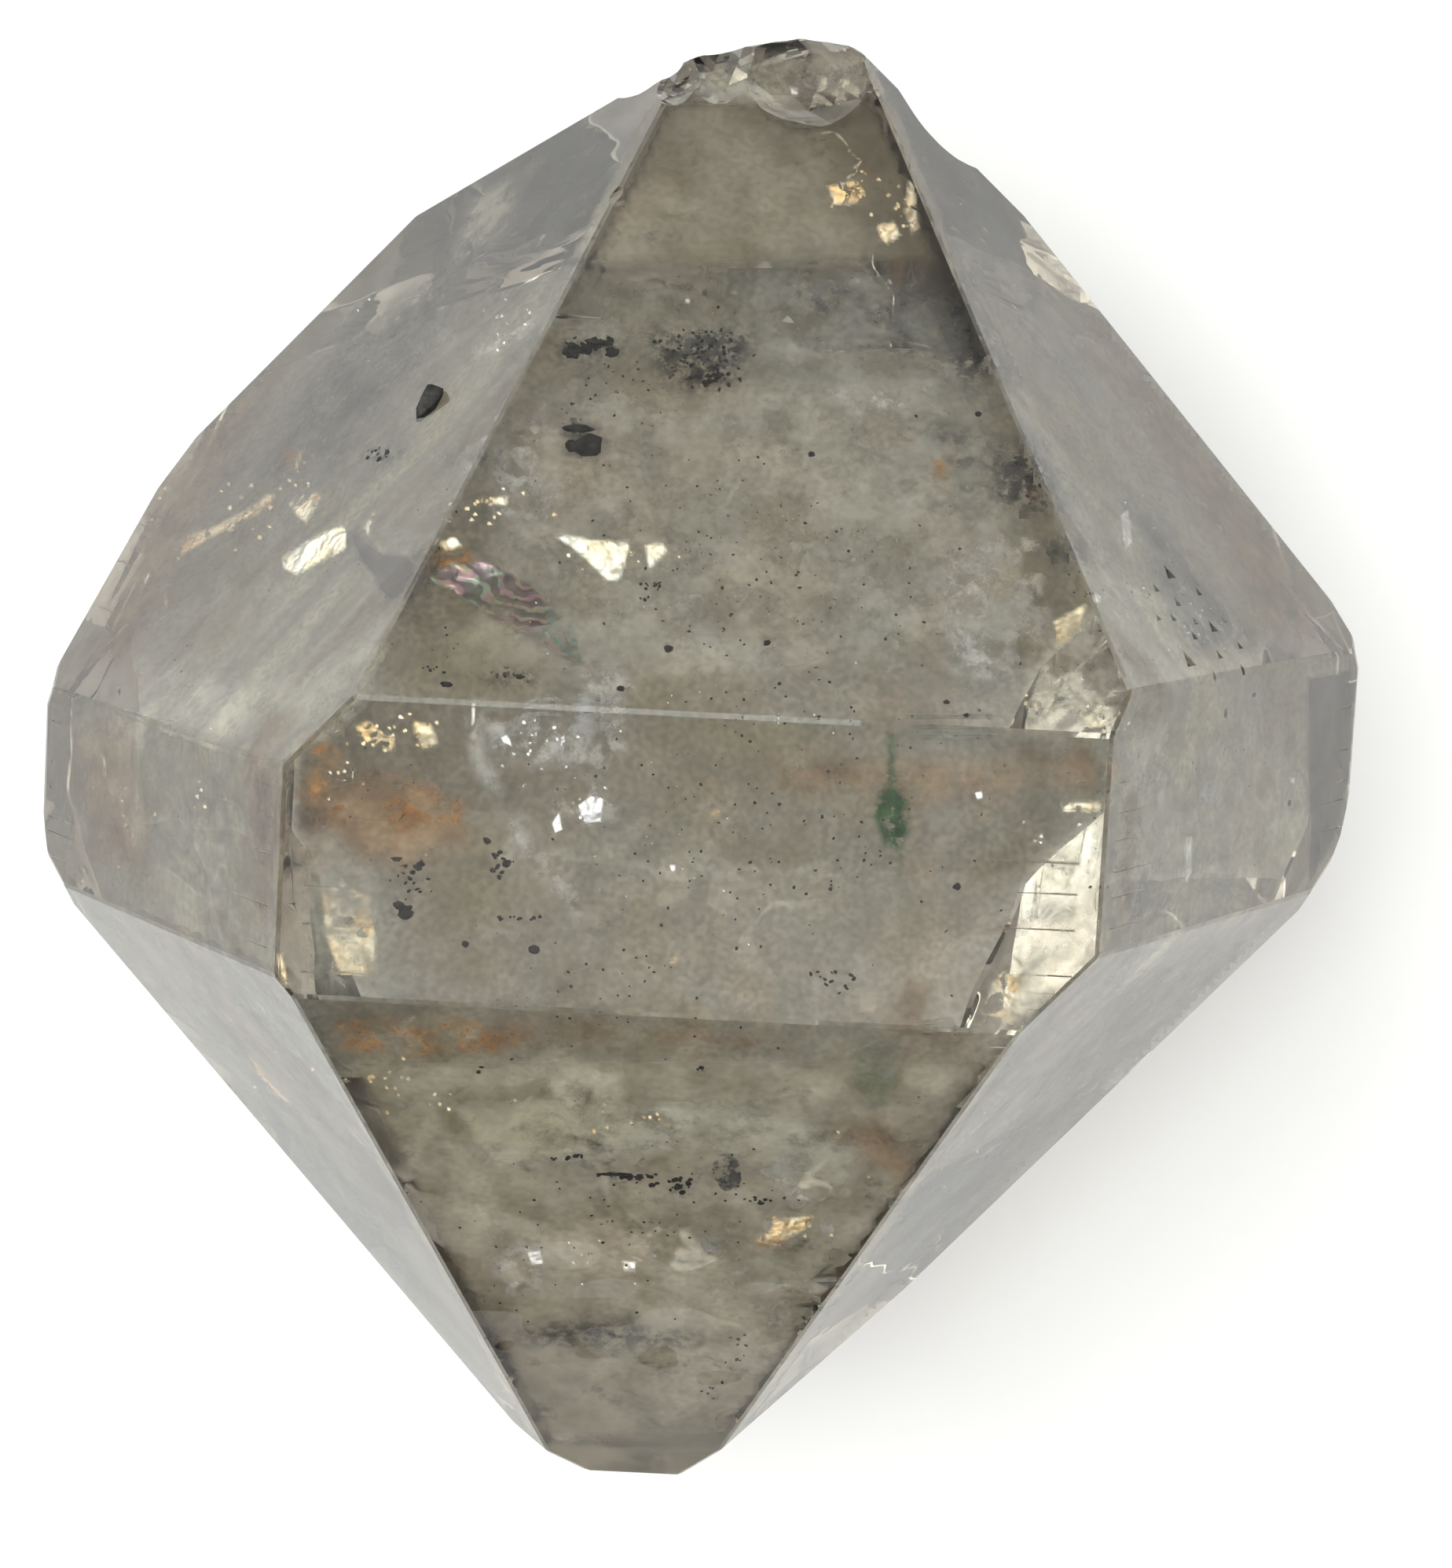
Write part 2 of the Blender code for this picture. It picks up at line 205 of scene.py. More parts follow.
# Bright reflections from cracks
BRIGHT_GLINTS = (
    (((356, 710), (364, 701), (382, 692), (410, 677), (436, 668), (442, 673), (442, 697),
      (428, 706), (403, 719), (376, 733), (360, 724)), 0.3, TO_KEY),
    (((704, 683), (720, 679), (756, 686), (785, 688), (803, 688), (799, 710), (790, 738),
      (774, 742), (756, 724), (738, 706), (713, 688)), 0.35, TO_KEY),
    (((821, 692), (846, 690), (850, 702), (835, 717), (828, 728), (823, 717)), 0.35, TO_KEY),
)
GOLD_GLINTS = (
    (((1290, 1215), (1310, 1222), (1290, 1305), (1250, 1290), (1262, 1250)), 0.3, TO_KEY),
    (((1350, 1020), (1408, 1018), (1406, 1034), (1352, 1036)), 0.3, TO_KEY),
    (((205, 748), (212, 742), (216, 770), (208, 782)), 0.3, (-0.1, -0.1)),
    (((372, 598), (380, 572), (388, 570), (380, 600)), 0.3, (-0.1, -0.1)),
    (((462, 672), (474, 650), (482, 652), (468, 684)), 0.3, (-0.1, -0.1)),
    (((228, 690), (240, 678), (262, 672), (258, 690), (236, 706)), 0.4, (-0.1, -0.1)),
    (((282, 668), (340, 628), (356, 626), (345, 640), (290, 676)), 0.4, (-0.1, -0.1)),
    (((128, 960), (140, 965), (142, 1000), (132, 990)), 0.2, (-0.1, -0.1)),
    (((1186, 1590), (1196, 1560), (1204, 1562), (1194, 1596)), 0.2, (-0.1, -0.1)),
    (((330, 1420), (338, 1418), (372, 1480), (366, 1484)), 0.2, (-0.1, -0.1)),
    (((260, 1260), (268, 1256), (300, 1300), (294, 1304)), 0.2, (-0.1, -0.1)),
    (((363, 640), (378, 628), (412, 626), (404, 645), (390, 668), (374, 655)), 0.35, TO_KEY),
    (((222, 700), (240, 682), (290, 660), (340, 632), (352, 630), (330, 655), (270, 685), (232, 706)),
     0.3, TO_KEY),
    (((450, 925), (470, 915), (490, 935), (505, 935), (500, 958), (470, 950)), 0.3, TO_KEY),
    (((525, 915), (550, 920), (560, 945), (540, 955), (525, 940)), 0.4, TO_KEY),
    (((408, 1135), (440, 1120), (470, 1140), (480, 1190), (478, 1240), (430, 1240), (412, 1190)),
     0.9, TO_KEY),
    (((960, 1580), (985, 1550), (1038, 1545), (1030, 1562), (990, 1585)), 0.5, TO_KEY),
    (((1155, 228), (1166, 232), (1170, 290), (1160, 300), (1150, 270)), 0.3, TO_KEY),
    (((1115, 285), (1140, 280), (1148, 300), (1130, 312), (1116, 305)), 0.3, TO_KEY),
    (((1052, 235), (1090, 228), (1104, 245), (1090, 260), (1058, 262)), 0.4, TO_KEY),
    (((310, 1320), (340, 1350), (375, 1400), (370, 1412), (340, 1390), (312, 1345)), 0.3, TO_KEY),
    (((348, 1205), (360, 1210), (368, 1254), (358, 1254)), 0.15, TO_KEY),
    (((155, 1035), (168, 1040), (175, 1078), (162, 1070)), 0.3, TO_KEY),
    (((1340, 790), (1385, 765), (1378, 800), (1345, 830)), 0.5, TO_KEY),
    (((1375, 905), (1412, 890), (1416, 925), (1380, 930)), 0.3, TO_KEY),
    (((555, 690), (580, 680), (590, 695), (570, 704)), 0.3, TO_KEY),
    (((622, 632), (650, 630), (645, 645), (625, 642)), 0.3, TO_KEY),
    (((625, 1740), (640, 1750), (662, 1788), (652, 1790)), 0.15, TO_KEY),
)
PALE_GLINTS = (
    (((735, 1025), (752, 1012), (768, 1015), (765, 1045), (745, 1048)), 0.3, TO_KEY),
    (((702, 1048), (712, 1032), (716, 1056), (706, 1060)), 0.3, TO_KEY),
    (((1425, 655), (1438, 645), (1442, 690), (1432, 702)), 0.15, TO_KEY),
    (((1392, 752), (1402, 758), (1402, 768), (1394, 766)), 0.1, TO_KEY),
    (((1507, 1065), (1518, 1062), (1518, 1110), (1508, 1128)), 0.3, TO_KEY),
    (((1240, 1008), (1250, 1006), (1252, 1016), (1243, 1018)), 0.2, TO_KEY),
    (((670, 1592), (688, 1590), (692, 1608), (676, 1610)), 0.6, TO_KEY),
    (((792, 1604), (810, 1604), (808, 1620), (794, 1618)), 0.4, TO_KEY),
    (((600, 895), (606, 893), (604, 920), (600, 925)), 0.3, TO_KEY),
    (((628, 918), (650, 940), (652, 950), (640, 945)), 0.4, TO_KEY),
    (((1005, 110), (1018, 110), (1016, 122), (1006, 122)), 0.05, TO_KEY),
    (((890, 94), (900, 94), (899, 101), (891, 100)), 0.05, TO_KEY),
    (((872, 380), (878, 380), (878, 386), (872, 386)), 0.1, TO_KEY),
    (((852, 1100), (860, 1100), (859, 1110), (853, 1109)), 0.2, TO_KEY),
    (((1640, 988), (1650, 990), (1648, 998), (1641, 997)), 0.1, TO_KEY),
)
# Groups of tiny bright flecks: middle, half width and height of the group, number, size of one
GOLD_SPARKS = (
    ((630, 645), (60, 30), 16, (3, 9)),
    ((500, 935), (60, 26), 20, (3, 9)),
    ((440, 985), (40, 40), 8, (3, 7)),
    ((1090, 245), (45, 26), 12, (3, 8)),
    ((1145, 260), (20, 45), 10, (3, 8)),
    ((790, 700), (60, 22), 10, (2, 6)),
    ((1390, 910), (30, 18), 8, (3, 8)),
    ((1320, 900), (20, 20), 6, (3, 8)),
    ((480, 1370), (60, 22), 12, (3, 9)),
    ((560, 1400), (50, 20), 8, (3, 8)),
    ((800, 1430), (70, 30), 10, (3, 8)),
    ((1000, 1565), (40, 18), 8, (3, 8)),
    ((300, 660), (90, 40), 20, (3, 10)),
    ((390, 610), (30, 30), 8, (3, 8)),
    ((150, 1010), (16, 60), 8, (3, 7)),
    ((250, 1010), (60, 60), 10, (3, 7)),
    ((340, 1370), (30, 50), 10, (3, 9)),
    ((1250, 1480), (120, 90), 14, (3, 7)),
    ((1560, 1240), (60, 40), 6, (3, 7)),
    ((210, 620), (40, 90), 10, (3, 8)),
)
PALE_SPARKS = (
    ((700, 950), (70, 50), 24, (2, 7)),
    ((745, 1035), (35, 22), 14, (2, 7)),
    ((1050, 100), (50, 30), 20, (2, 6)),
    ((1530, 800), (45, 36), 26, (2, 5)),
    ((1330, 1090), (50, 70), 14, (3, 8)),
    ((890, 840), (300, 150), 34, (1.5, 3)),
    ((900, 1100), (300, 120), 24, (1.5, 3)),
    ((420, 400), (120, 120), 14, (2, 6)),
    ((1440, 690), (30, 60), 10, (2, 7)),
    ((650, 410), (50, 30), 12, (2, 6)),
    ((760, 1610), (120, 40), 10, (2, 6)),
)
RAINBOWS = (
    (((565, 717), (612, 711), (644, 722), (677, 742), (706, 771), (731, 803), (749, 846), (734, 850),
      (695, 828), (677, 818), (648, 803), (612, 782), (587, 760), (544, 738)), 0.6, (0.4, 0.6)),
    (((536, 980), (550, 975), (560, 1000), (548, 1006)), 0.3, (0, 0.3)),
)
GREEN_STAINS = (
    (((1112, 1005), (1135, 990), (1158, 1015), (1162, 1060), (1145, 1088), (1122, 1078), (1108, 1040)),
     0.4, LEVEL),
    (((1126, 930), (1142, 930), (1146, 1000), (1126, 1000)), 0.5, LEVEL),
)
GREEN_TINTS = (
    (((1136, 1075), (1158, 1075), (1166, 1160), (1146, 1175)), 0.6, LEVEL),
    (((1090, 1300), (1140, 1315), (1160, 1380), (1120, 1420), (1080, 1390)), 0.7, LEVEL),
    (((985, 1610), (1040, 1600), (1020, 1660), (980, 1650)), 0.7, LEVEL),
)
BROWN_STAINS = (
    (((366, 985), (420, 935), (440, 960), (430, 1010), (380, 1020)), 0.4, LEVEL),
    (((1040, 1420), (1110, 1412), (1180, 1470), (1155, 1510), (1090, 1465)), 0.9, LEVEL),
    (((1105, 1300), (1150, 1232), (1190, 1250), (1185, 1290)), 0.9, LEVEL),
    (((440, 1290), (760, 1292), (1000, 1305), (990, 1350), (560, 1345)), 1.0, LEVEL),
    (((370, 1010), (520, 1000), (620, 1040), (560, 1110), (380, 1100)), 1.2, LEVEL),
    (((830, 190), (1000, 180), (1030, 300), (900, 340), (800, 300)), 1.2, LEVEL),
    (((1290, 940), (1412, 940), (1412, 1010), (1300, 1010)), 0.8, LEVEL),
)
# Broad hazes, which give the zones their tones
OLIVE_HAZES = (
    (((850, 125), (1110, 118), (1150, 200), (1200, 340), (740, 345), (790, 240)), 1.0, LEVEL),
)
WARM_HAZES = (
    (((440, 1345), (1310, 1345), (1130, 1570), (940, 1830), (700, 1840), (560, 1590)), 1.0, LEVEL),
)
# Brown hazes: some are brown stains inside, and the thin ones along the crystal's outline are painted shade
BROWN_HAZES = (
    (((960, 948), (1120, 950), (1290, 958), (1410, 965), (1408, 1010), (1270, 1020), (1150, 1040),
      (980, 1020)), 0.6, LEVEL),
    (((372, 1000), (470, 960), (580, 1010), (640, 1080), (520, 1120), (380, 1110)), 0.8, LEVEL),
    (((1230, 180), (1420, 390), (1650, 680), (1720, 850), (1590, 820), (1500, 640), (1340, 400)),
     0.2, LEVEL),
    (((80, 860), (160, 680), (260, 500), (400, 320), (560, 190), (480, 330), (340, 520), (260, 680),
      (180, 860)), 0.2, LEVEL),
    (((66, 900), (180, 910), (210, 1140), (100, 1100)), 0.2, LEVEL),
    (((330, 880), (400, 900), (366, 960), (366, 1200), (300, 1180), (290, 960)), 0.2, LEVEL),
    (((140, 1170), (230, 1160), (440, 1410), (580, 1640), (500, 1590), (320, 1380)), 0.15, LEVEL),
    (((1190, 1560), (1370, 1330), (1510, 1200), (1600, 1150), (1450, 1330), (1250, 1550)), 0.15, LEVEL),
    (((1690, 900), (1722, 860), (1728, 960), (1700, 1080), (1670, 1130)), 0.3, LEVEL),
    (((1035, 1425), (1110, 1412), (1190, 1475), (1150, 1530), (1080, 1480)), 0.5, LEVEL),
    (((1105, 1320), (1160, 1240), (1200, 1250), (1190, 1330)), 0.5, LEVEL),
)
# Pale hazes: the first three lie over bright reflections to soften them, and the last is painted light that
# lightens the upper middle zone
LIGHT_HAZES = (
    (((1220, 1350), (1270, 1180), (1330, 1050), (1418, 990), (1422, 1240), (1350, 1340)), 0.2, LEVEL),
    (((366, 1050), (430, 1040), (500, 1120), (500, 1270), (372, 1280)), 0.2, LEVEL),
    (((1280, 940), (1320, 800), (1400, 760), (1440, 880), (1412, 955)), 0.2, LEVEL),
    (((700, 480), (1180, 470), (1270, 560), (1330, 820), (900, 880), (560, 860), (600, 740)), 0.9, LEVEL),
)
# Grey hazes under the faces that look sideways: painted shade that darkens these faces
GREY_HAZES = (
    (((150, 1150), (360, 1240), (470, 1440), (640, 1790), (560, 1740), (300, 1400)), 0.5, LEVEL),
    (((1420, 1240), (1660, 1140), (1500, 1370), (1200, 1640), (960, 1830), (1180, 1520)), 0.5, LEVEL),
    (((1380, 560), (1470, 640), (1640, 830), (1500, 850), (1440, 700)), 0.4, LEVEL),
    (((420, 420), (640, 260), (560, 440), (430, 620), (300, 640)), 0.8, LEVEL),
)
COOL_HAZES = (
    (((700, 330), (900, 300), (1190, 320), (1260, 470), (1300, 600), (1200, 620), (960, 500), (720, 480)),
     1.4, LEVEL),
    (((1225, 240), (1400, 390), (1440, 520), (1300, 520), (1230, 360)), 0.3, LEVEL),
    (((1140, 820), (1300, 800), (1310, 900), (1270, 1000), (1200, 1150), (1150, 1100)), 1.0, LEVEL),
)
ORANGE_STAINS = (
    (((366, 985), (400, 940), (440, 935), (432, 1000), (400, 1030), (370, 1025)), 0.3, LEVEL),
    (((430, 1000), (520, 975), (600, 1010), (590, 1060), (480, 1065), (400, 1050)), 0.8, LEVEL),
    (((415, 1290), (640, 1295), (700, 1310), (640, 1345), (500, 1350), (430, 1340)), 0.5, LEVEL),
    (((540, 695), (600, 690), (610, 720), (560, 745), (540, 735)), 0.4, LEVEL),
    (((955, 1575), (1000, 1545), (1040, 1550), (1000, 1590), (960, 1595)), 0.6, LEVEL),
    (((350, 560), (390, 565), (395, 600), (355, 612)), 0.4, LEVEL),
    (((215, 745), (240, 750), (235, 780), (215, 775)), 0.3, LEVEL),
    (((150, 810), (180, 820), (178, 900), (160, 880)), 0.4, LEVEL),
    (((1225, 215), (1250, 220), (1248, 250), (1228, 245)), 0.3, LEVEL),
    (((1180, 570), (1220, 580), (1215, 640), (1185, 620)), 0.6, LEVEL),
)
# Pale bands: partly milky veils, partly painted light for the bright bands that the faces throw through the
# crystal
PALE_BANDS = (
    (((865, 108), (900, 80), (960, 66), (1040, 55), (1105, 66), (1130, 118), (1000, 140), (880, 130)),
     0.12, LEVEL),
    (((560, 1400), (700, 1385), (960, 1400), (1120, 1440), (1080, 1530), (900, 1470), (620, 1500)),
     0.7, LEVEL),
    (((1198, 305), (1228, 300), (1345, 545), (1460, 800), (1490, 865), (1442, 874), (1370, 690)),
     0.15, LEVEL),
    (((200, 848), (330, 866), (480, 805), (498, 800), (440, 900), (352, 960), (205, 925)), 0.5, LEVEL),
    (((1505, 1060), (1520, 1060), (1522, 1128), (1506, 1135)), 0.3, LEVEL),
    (((1416, 945), (1500, 900), (1500, 1100), (1404, 1180)), 0.5, LEVEL),
    (((135, 900), (190, 905), (190, 960), (140, 950)), 0.3, LEVEL),
    (((590, 250), (700, 190), (640, 300), (560, 360)), 0.5, LEVEL),
    (((640, 1352), (720, 1340), (800, 1350), (808, 1400), (780, 1445), (730, 1440), (690, 1400),
      (636, 1385)), 0.6, LEVEL),
    (((860, 1395), (930, 1385), (960, 1410), (900, 1430)), 0.6, LEVEL),
)
# The first dark sheet is painted shade along the crystal's outline at its right corner; the second is a
# dark plate inside
DARK_PLATES = (
    (((1662, 862), (1722, 850), (1728, 960), (1700, 1070), (1664, 1130)), 0.4, LEVEL),
    (((445, 672), (464, 684), (486, 702), (518, 706), (531, 717), (526, 735), (508, 764), (497, 765),
      (482, 753), (475, 735), (457, 713), (446, 688)), 0.4, (0.2, 0.2)),
)
# The hazes' pieces: name, sheets, slot, width of the soft rim in pixels
HAZES = (
    ("olive", OLIVE_HAZES, "quartz", 16),
    ("warm", WARM_HAZES, "quartz", 16),
    ("light", LIGHT_HAZES, "quartz", 30),
    ("brown", BROWN_HAZES, "stain", 45),
    ("grey", GREY_HAZES, "quartz", 30),
    ("cool", COOL_HAZES, "quartz", 50),
)

# Films on the sheets: two colours, size of the patches in millimetres, opacity, noise values at their edges
# Of these, pale_band, light_haze, grey_haze, brown_haze and dark_plate also carry painted light and shade,
# as told at their sheets
FILMS = {
    "cloud": (((0.04, 0.04, 0.045), (0.14, 0.14, 0.15)), 0.22, 0.9, (0.44, 0.56)),
    "veil": (((0.72, 0.72, 0.76), (0.97, 0.95, 0.93)), 0.45, 0.75, (0.42, 0.60)),
    "green_stain": (((0.02, 0.07, 0.02), (0.08, 0.20, 0.07)), 0.22, 1.0, (0.32, 0.50)),
    "green_tint": (((0.06, 0.14, 0.06), (0.14, 0.22, 0.11)), 0.35, 0.5, (0.40, 0.60)),
    "brown_stain": (((0.24, 0.13, 0.05), (0.45, 0.30, 0.17)), 0.6, 0.6, (0.42, 0.62)),
    "dark_plate": (((0.12, 0.11, 0.11), (0.22, 0.20, 0.21)), 0.7, 0.85, (0.10, 0.25)),
    "orange_stain": (((0.45, 0.18, 0.03), (0.75, 0.42, 0.15)), 0.35, 0.8, (0.42, 0.62)),
    "pale_band": (((0.74, 0.73, 0.63), (0.95, 0.94, 0.84)), 0.6, 0.75, (0.30, 0.55)),
    "olive_haze": (((0.34, 0.31, 0.24), (0.52, 0.49, 0.41)), 0.9, 0.8, (0.20, 0.42)),
    "warm_haze": (((0.46, 0.43, 0.34), (0.82, 0.78, 0.67)), 0.7, 0.8, (0.20, 0.42)),
    "light_haze": (((0.55, 0.53, 0.47), (0.80, 0.78, 0.71)), 0.7, 0.6, (0.25, 0.60)),
    "brown_haze": (((0.30, 0.20, 0.12), (0.58, 0.43, 0.29)), 0.6, 1.0, (0.20, 0.50)),
    "grey_haze": (((0.10, 0.095, 0.09), (0.32, 0.31, 0.29)), 0.6, 0.85, (0.28, 0.55)),
    "cool_haze": (((0.42, 0.415, 0.40), (0.60, 0.595, 0.575)), 1.2, 0.6, (0.25, 0.55)),
}
# Bright cracks: two colours, noise values at the flecks' edges
GLINTS = {
    "bright_glint": (((1.0, 0.90, 0.66), (1.0, 1.0, 0.94)), (0.22, 0.30)),
    "gold_glint": (((1.0, 0.72, 0.38), (1.0, 0.96, 0.80)), (0.40, 0.48)),
    "gold_spark": (((1.0, 0.72, 0.38), (1.0, 0.96, 0.80)), (0.10, 0.20)),
    "pale_glint": (((0.92, 0.93, 1.0), (1.0, 1.0, 1.0)), (0.30, 0.40)),
}


def camera_rotation():
    roll = Matrix.Rotation(math.radians(CAMERA_ROLL), 3, "Z")
    pitch = Matrix.Rotation(math.radians(CAMERA_PITCH), 3, "X")
    yaw = Matrix.Rotation(math.radians(CAMERA_YAW), 3, "Y")
    return (roll @ pitch @ yaw).transposed()


def camera_location():
    return CENTRE + camera_rotation() @ CAMERA_PLACE


def make_camera():
    data = bpy.data.cameras.new("camera")
    data.sensor_width = SENSOR
    data.lens = SENSOR * FOCAL_PIXELS / FRAME_HEIGHT
    data.clip_start = 1 * MM
    camera = bpy.data.objects.new("camera", data)
    camera.matrix_world = Matrix.Translation(camera_location()) @ camera_rotation().to_4x4()
    bpy.context.scene.collection.objects.link(camera)
    bpy.context.scene.camera = camera


class Materials:
    """Short ways to build node materials. Lengths in the textures are millimetres on the object."""

    def __init__(self, name):
        self.material = bpy.data.materials.new(name)
        self.material.use_nodes = True
        self.nodes = self.material.node_tree.nodes
        self.links = self.material.node_tree.links
        self.shader = self.nodes["Principled BSDF"]
        place = self.nodes.new("ShaderNodeTexCoord")
        scale = self.nodes.new("ShaderNodeMapping")
        scale.inputs["Scale"].default_value = (1 / MM, 1 / MM, 1 / MM)
        self.links.new(place.outputs["Object"], scale.inputs["Vector"])
        self.millimetres = scale.outputs["Vector"]
        self.normal = place.outputs["Normal"]

    def set(self, **values):
        for socket, value in values.items():
            self.shader.inputs[socket.replace("_", " ")].default_value = value

    def join(self, output, socket):
        self.links.new(output, self.shader.inputs[socket])

    def split(self, vector):
        node = self.nodes.new("ShaderNodeSeparateXYZ")
        self.links.new(vector, node.inputs["Vector"])
        return node.outputs["X"], node.outputs["Y"], node.outputs["Z"]

    def merge(self, x, y, z):
        node = self.nodes.new("ShaderNodeCombineXYZ")
        for socket, value in zip(node.inputs, (x, y, z)):
            self.links.new(value, socket)
        return node.outputs["Vector"]

    def noise(self, size, detail=4.0, rough=0.55, distort=0.0, vector=None):
        """Noise from 0 to 1 with features of this size."""
        node = self.nodes.new("ShaderNodeTexNoise")
        node.inputs["Scale"].default_value = 1 / size
        node.inputs["Detail"].default_value = detail
        node.inputs["Roughness"].default_value = rough
        node.inputs["Distortion"].default_value = distort
        self.links.new(vector or self.millimetres, node.inputs["Vector"])
        return node.outputs["Fac"]

    def ramp(self, value, *stops):
        """Colours by value, each stop a position and a colour or a grey."""
        node = self.nodes.new("ShaderNodeValToRGB")
        elements = node.color_ramp.elements
        while len(elements) < len(stops):
            elements.new(0.5)
        for element, (position, colour) in zip(elements, stops):
            element.position = position
            if isinstance(colour, (int, float)):
                colour = (colour, colour, colour)
            element.color = (*colour, 1)
        self.links.new(value, node.inputs["Fac"])
        return node.outputs["Color"]

    def between(self, value, low, high):
        """A value moved from its 0 to 1 range into another one."""
        node = self.nodes.new("ShaderNodeMapRange")
        node.inputs["To Min"].default_value = low
        node.inputs["To Max"].default_value = high
        self.links.new(value, node.inputs["Value"])
        return node.outputs["Result"]

    def math(self, operation, first, second):
        node = self.nodes.new("ShaderNodeMath")
        node.operation = operation
        for socket, value in zip(node.inputs, (first, second)):
            if isinstance(value, (int, float)):
                socket.default_value = value
            else:
                self.links.new(value, socket)
        return node.outputs["Value"]

    def mix(self, share, first, second):
        node = self.nodes.new("ShaderNodeMix")
        node.data_type = "RGBA"
        self.links.new(share, node.inputs["Factor"])
        for socket, colour in ((node.inputs[6], first), (node.inputs[7], second)):
            if isinstance(colour, tuple):
                socket.default_value = (*colour, 1)
            else:
                self.links.new(colour, socket)
        return node.outputs[2]

    def fade(self):
        """The sheet's own fade, from 0 at its rim to 1 inside."""
        node = self.nodes.new("ShaderNodeAttribute")
        node.attribute_name = "fade"
        return node.outputs["Fac"]

    def bump(self, height, depth):
        node = self.nodes.new("ShaderNodeBump")
        node.inputs["Distance"].default_value = depth
        node.inputs["Strength"].default_value = 1.0
        self.links.new(height, node.inputs["Height"])
        self.join(node.outputs["Normal"], "Normal")


def quartz_material():
    """Mottled grey and beige quartz, with streaks along the rim on the faces that look sideways, partly
    their own and partly painted shade and reflection, and with painted shade that darkens it towards its
    outline.
    """
    make = Materials("quartz")
    make.set(IOR=QUARTZ_IOR, Transmission_Weight=1.0, Roughness=0.0)
    x, y, z = make.split(make.millimetres)
    out_x = make.math("ABSOLUTE", x, 0)
    out_y = make.math("ABSOLUTE", y, 0)
    rim = make.math("ADD", make.math("MULTIPLY", out_x, 1 / RIM_HALF_WIDTH),
                    make.math("MULTIPLY", out_y, 1 / RIM_HALF_LENGTH))
    across = make.math("MULTIPLY", rim, STREAKS_ACROSS_RIM)
    along = make.math("MULTIPLY", make.math("SUBTRACT", out_x, out_y), STREAK_STRETCH)
    streaks = make.noise(1.4, 2.0, 0.6, vector=make.merge(across, along, z))
    warm = make.ramp(
        make.noise(2.4, 2.0, 0.65),
        (0.34, (0.78, 0.73, 0.56)), (0.46, (0.98, 0.95, 0.87)),
        (0.56, (0.84, 0.85, 0.82)), (0.66, (1.00, 0.90, 0.80)),
    )
    # Streaky colour for the faces that look sideways: partly the faces' own streaks, partly painted shade
    # and reflection for what these slanted faces show
    cool = make.ramp(
        streaks,
        (0.38, (0.24, 0.17, 0.13)), (0.46, (0.74, 0.71, 0.68)),
        (0.53, (0.38, 0.37, 0.38)), (0.62, (0.98, 0.95, 0.82)),
    )
    sideways = make.math("ABSOLUTE", make.split(make.normal)[0], 0)
    colour = make.mix(make.ramp(sideways, (0.25, 0.0), (0.6, 1.0)), warm, cool)
    # Painted shade: the colour darkens towards the crystal's outline
    colour = make.mix(make.ramp(rim, (0.88, 0.0), (1.0, 0.8)), colour, (0.34, 0.28, 0.23))
    patches = make.ramp(make.noise(0.55, 1.0), (0.42, 0.0), (0.66, 0.45))
    colour = make.mix(patches, colour, (0.50, 0.46, 0.38))
    dots = make.ramp(make.noise(0.10, 0.0), (0.42, 0.0), (0.62, 0.40))
    colour = make.mix(dots, colour, (0.38, 0.37, 0.34))
    make.join(colour, "Base Color")
    make.bump(make.noise(1.6, 1.0, 0.5), 0.030 * MM)
    absorb = make.nodes.new("ShaderNodeVolumeAbsorption")
    absorb.inputs["Color"].default_value = (*ABSORPTION_COLOUR, 1)
    absorb.inputs["Density"].default_value = ABSORPTION_DENSITY
    make.links.new(absorb.outputs["Volume"], make.nodes["Material Output"].inputs["Volume"])
    return make.material


def bitumen_material():
    """Dull black with a hint of brown."""
    make = Materials("bitumen")
    make.set(Specular_IOR_Level=0.3)
    black = make.ramp(make.noise(0.12), (0.35, (0.010, 0.010, 0.011)), (0.65, (0.045, 0.042, 0.038)))
    make.join(black, "Base Color")
    make.join(make.between(make.noise(0.2), 0.5, 0.8), "Roughness")
    make.bump(make.noise(0.05), 0.01 * MM)
    return make.material


def film_material(name):
    """A dull, patchy film on a sheet."""
    colours, size, strength, cover = FILMS[name]
    make = Materials(name)
    make.set(Roughness=0.6, Specular_IOR_Level=0.0)
    make.join(make.ramp(make.noise(size, 3.0), (0.35, colours[0]), (0.65, colours[1])), "Base Color")
    patches = make.ramp(make.noise(size * 0.8, 4.0, 0.65), (cover[0], 0.0), (cover[1], 1.0))
    alpha = make.math("MULTIPLY", make.math("MULTIPLY", patches, make.fade()), strength)
    make.join(alpha, "Alpha")
    return make.material


def glint_material(name):
    """A bright crack that throws the light back, broken up into flecks."""
    colours, cover = GLINTS[name]
    make = Materials(name)
    make.set(Metallic=0.85)
    make.join(make.ramp(make.noise(0.5, 4.0), (0.35, colours[0]), (0.6, colours[1])), "Base Color")
    make.join(make.between(make.noise(0.3), 0.25, 0.55), "Roughness")
    flecks = make.ramp(make.noise(0.28, 3.0, 0.6, 0.8), (cover[0], 0.0), (cover[1], 1.0))
    make.join(make.math("MULTIPLY", flecks, make.fade()), "Alpha")
    make.bump(make.noise(0.30, 2.0), 0.07 * MM)
    return make.material


